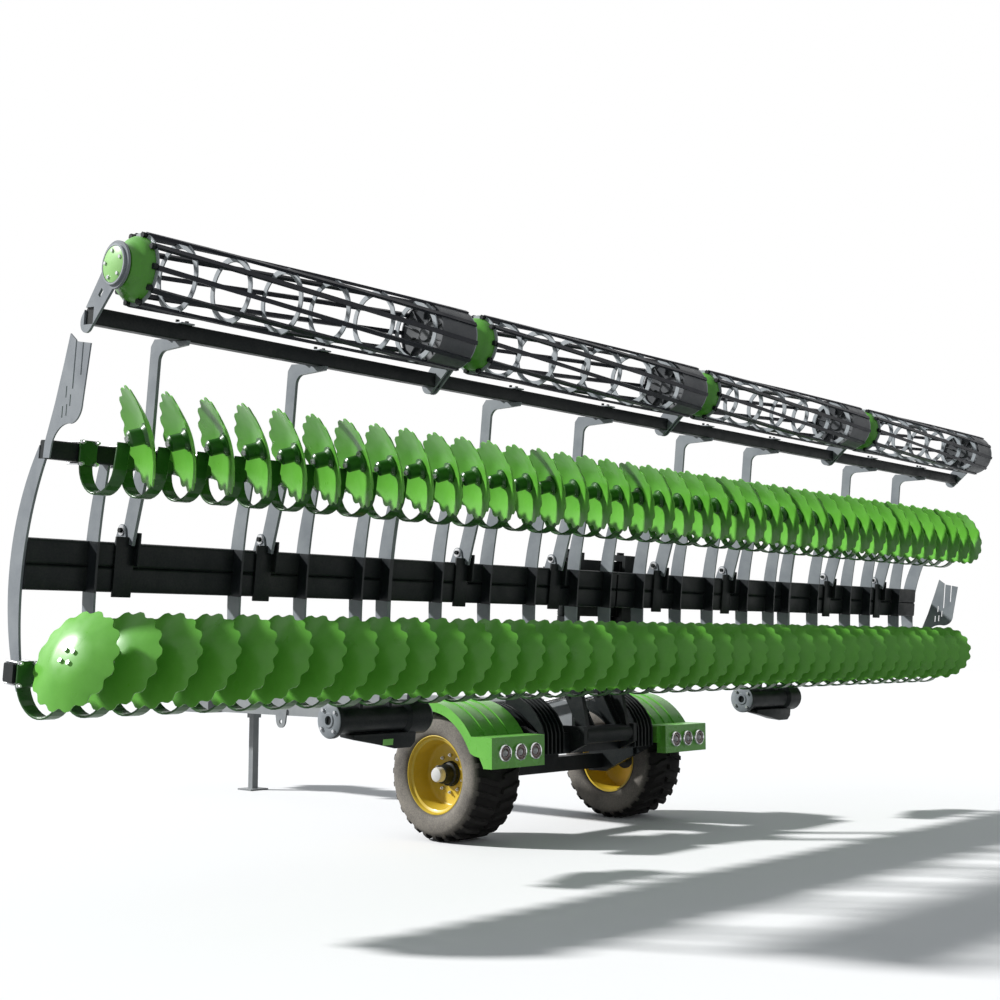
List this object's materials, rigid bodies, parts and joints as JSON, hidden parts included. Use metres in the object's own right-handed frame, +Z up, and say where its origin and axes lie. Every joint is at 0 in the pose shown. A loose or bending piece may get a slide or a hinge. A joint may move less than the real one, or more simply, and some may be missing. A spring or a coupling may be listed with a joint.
{
  "type": "disc harrow",
  "caption": "Wide towed disc harrow raised upright on a two-wheel carriage, with two rows of notched discs on spring arms, cage rollers, folding wings and a drawbar.",
  "frame": {"origin": "on the ground under the middle of the bounding box", "axes": "+X to the right of the machine, along its longest extent; +Y forward; +Z up, its shortest extent"},
  "size_m": [10.3042, 6.831, 3.6102],
  "materials": {
    "green_discs": "satin",
    "green_arms": "satin",
    "green_fender": "satin",
    "black_frame": "satin",
    "grey_frame": "satin",
    "grey_ribs": "satin",
    "roller_steel": "satin",
    "lamp_glass": "gloss",
    "yellow_rim": "satin",
    "tyre_rubber": "matt",
    "chrome_ram": "polished"
  },
  "bodies": {
    "chassis": {"cross_beam": "black_frame", "knees": "black_frame", "axle": "black_frame", "drawbar": "grey_frame", "tilt_anchors": "black_frame", "lamps": "lamp_glass", "fender_left": "green_fender", "fender_right": "green_fender"},
    "wheel_left": {"rim_left": "yellow_rim", "tyre_left": "tyre_rubber"},
    "wheel_right": {"rim_right": "yellow_rim", "tyre_right": "tyre_rubber"},
    "stand": {"stand": "grey_frame"},
    "tilting_frame": {"tilting_frame": "black_frame"},
    "wing_left": {"discs_left": "green_discs", "fold_hinge_left": "black_frame", "housing_left": "black_frame", "main_beam_left": "black_frame", "ribs_left": "grey_ribs", "roller_arms_left": "grey_ribs", "roller_carrier_left": "black_frame", "roller_struts_left": "grey_ribs", "side_plate_left": "grey_ribs", "spring_arms_left": "green_arms", "toolbars_left": "black_frame"},
    "tilt_barrel_left": {"tilt_barrel_left": "black_frame"},
    "tilt_ram_left": {"tilt_ram_left": "chrome_ram"},
    "fold_barrel_left": {"fold_barrel_left": "black_frame"},
    "fold_ram_left": {"fold_ram_left": "chrome_ram"},
    "wing_right": {"discs_right": "green_discs", "fold_hinge_right": "black_frame", "housing_right": "black_frame", "main_beam_right": "black_frame", "ribs_right": "grey_ribs", "roller_arms_right": "grey_ribs", "roller_carrier_right": "black_frame", "roller_struts_right": "grey_ribs", "side_plate_right": "grey_ribs", "spring_arms_right": "green_arms", "toolbars_right": "black_frame"},
    "tilt_barrel_right": {"tilt_barrel_right": "black_frame"},
    "tilt_ram_right": {"tilt_ram_right": "chrome_ram"},
    "fold_barrel_right": {"fold_barrel_right": "black_frame"},
    "fold_ram_right": {"fold_ram_right": "chrome_ram"},
    "cage_roller_1": {"cage_roller_1": "roller_steel"},
    "cage_roller_2": {"cage_roller_2": "roller_steel"},
    "cage_roller_3": {"cage_roller_3": "roller_steel"},
    "cage_roller_4": {"cage_roller_4": "roller_steel"}
  },
  "joints": [
    {"name": "wheel_left_spin", "type": "hinge", "parent": "chassis", "child": "wheel_left", "pos_m": [-0.00211, -1.72447, 0.5], "axis": [1, 0, 0], "continuous": true},
    {"name": "wheel_right_spin", "type": "hinge", "parent": "chassis", "child": "wheel_right", "pos_m": [-0.00211, -1.72447, 0.5], "axis": [1, 0, 0], "continuous": true},
    {"name": "stand_slide", "type": "slide", "parent": "chassis", "child": "stand", "axis": [0, 0, 1], "range_m": [0, 0.35]},
    {"name": "frame_tilt", "type": "hinge", "parent": "chassis", "child": "tilting_frame", "pos_m": [-0.00211, -2.35447, 0.78], "axis": [1, 0, 0], "range_deg": [0, 84]},
    {"name": "fold_left", "type": "hinge", "parent": "tilting_frame", "child": "wing_left", "pos_m": [-0.33211, -2.2452, 1.93111], "axis": [0, 0.1021, -0.9948], "range_deg": [0, 90]},
    {"name": "fold_right", "type": "hinge", "parent": "tilting_frame", "child": "wing_right", "pos_m": [0.32789, -2.2452, 1.93111], "axis": [0, -0.1021, 0.9948], "range_deg": [0, 90]},
    {"name": "roller_1_spin", "type": "hinge", "parent": "wing_left", "child": "cage_roller_1", "pos_m": [-0.00211, -3.21524, 3.40979], "axis": [1, 0, 0], "continuous": true},
    {"name": "roller_2_spin", "type": "hinge", "parent": "wing_left", "child": "cage_roller_2", "pos_m": [-0.00211, -3.21524, 3.40979], "axis": [1, 0, 0], "continuous": true},
    {"name": "roller_3_spin", "type": "hinge", "parent": "wing_right", "child": "cage_roller_3", "pos_m": [-0.00211, -3.21524, 3.40979], "axis": [1, 0, 0], "continuous": true},
    {"name": "roller_4_spin", "type": "hinge", "parent": "wing_right", "child": "cage_roller_4", "pos_m": [-0.00211, -3.21524, 3.40979], "axis": [1, 0, 0], "continuous": true},
    {"name": "tilt_barrel_left_swing", "type": "hinge", "parent": "chassis", "child": "tilt_barrel_left", "pos_m": [-0.17711, -1.16447, 0.86], "axis": [1, 0, 0], "range_deg": [-1, 9]},
    {"name": "tilt_ram_left_slide", "type": "slide", "parent": "tilt_barrel_left", "child": "tilt_ram_left", "axis": [0, -0.9767, 0.2146], "range_m": [0, 0.4402]},
    {"name": "fold_barrel_left_swing", "type": "hinge", "parent": "tilting_frame", "child": "fold_barrel_left", "pos_m": [0.24789, -1.94817, 1.92641], "axis": [0, 0.1021, -0.9948], "range_deg": [-1, 23]},
    {"name": "fold_ram_left_slide", "type": "slide", "parent": "fold_barrel_left", "child": "fold_ram_left", "axis": [0.9406, 0.3379, 0.0347], "range_m": [0, 0.3474]},
    {"name": "tilt_barrel_right_swing", "type": "hinge", "parent": "chassis", "child": "tilt_barrel_right", "pos_m": [0.17289, -1.16447, 0.86], "axis": [1, 0, 0], "range_deg": [-1, 9]},
    {"name": "tilt_ram_right_slide", "type": "slide", "parent": "tilt_barrel_right", "child": "tilt_ram_right", "axis": [0, -0.9767, 0.2146], "range_m": [0, 0.4402]},
    {"name": "fold_barrel_right_swing", "type": "hinge", "parent": "tilting_frame", "child": "fold_barrel_right", "pos_m": [-0.25211, -1.96042, 2.04578], "axis": [0, -0.1021, 0.9948], "range_deg": [-1, 23]},
    {"name": "fold_ram_right_slide", "type": "slide", "parent": "fold_barrel_right", "child": "fold_ram_right", "axis": [-0.9406, 0.3379, 0.0347], "range_m": [0, 0.3474]}
  ],
  "couplings": [
    {"joint": "tilt_barrel_left_swing", "follows": "frame_tilt", "ratio": 0.089444},
    {"joint": "tilt_ram_left_slide", "follows": "frame_tilt", "m_per_rad": 0.29957},
    {"joint": "fold_barrel_left_swing", "follows": "fold_left", "ratio": 0.24669},
    {"joint": "fold_ram_left_slide", "follows": "fold_left", "m_per_rad": 0.22051},
    {"joint": "tilt_barrel_right_swing", "follows": "frame_tilt", "ratio": 0.089444},
    {"joint": "tilt_ram_right_slide", "follows": "frame_tilt", "m_per_rad": 0.29957},
    {"joint": "fold_barrel_right_swing", "follows": "fold_right", "ratio": 0.24669},
    {"joint": "fold_ram_right_slide", "follows": "fold_right", "m_per_rad": 0.22051}
  ]
}
